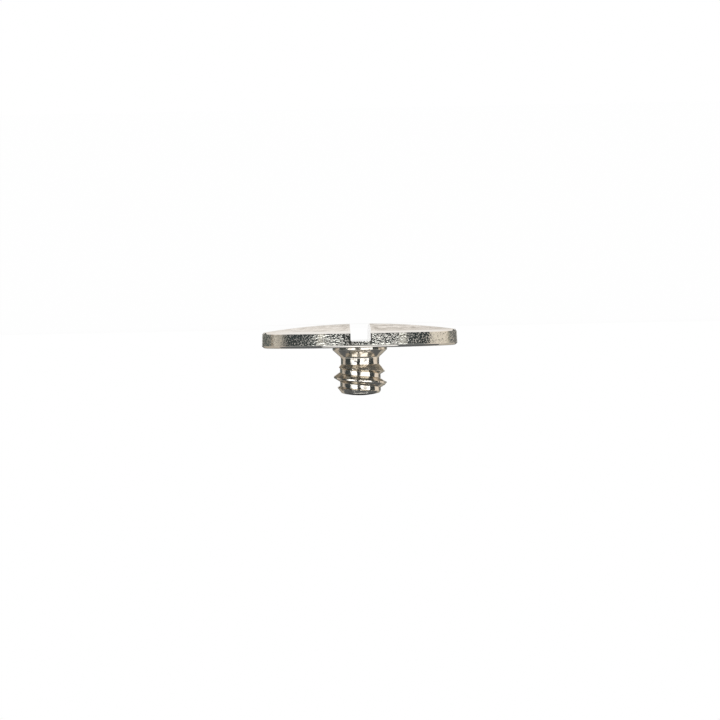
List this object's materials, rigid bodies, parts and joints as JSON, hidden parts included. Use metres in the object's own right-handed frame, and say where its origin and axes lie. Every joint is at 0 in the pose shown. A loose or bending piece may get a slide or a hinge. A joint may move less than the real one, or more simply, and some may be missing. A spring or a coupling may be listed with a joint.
{
  "type": "watch screw",
  "caption": "Slotted watch screw with a wide thin domed head, a tapered collar and relief neck, and a short left-hand threaded shank; clamps a wheel or plate inside a movement.",
  "frame": {"origin": "centre of the flat seat under the head, on the screw's axis", "axes": "+Z along the axis from the head to the tip of the shank; the screwdriver slot runs along Y; the screw stands on its domed head"},
  "size_m": [0.0036, 0.0036, 0.0013],
  "materials": {
    "steel": "bright turned steel with a fine grainy rim"
  },
  "bodies": {
    "root": {"screw": "steel"}
  },
  "joints": []
}
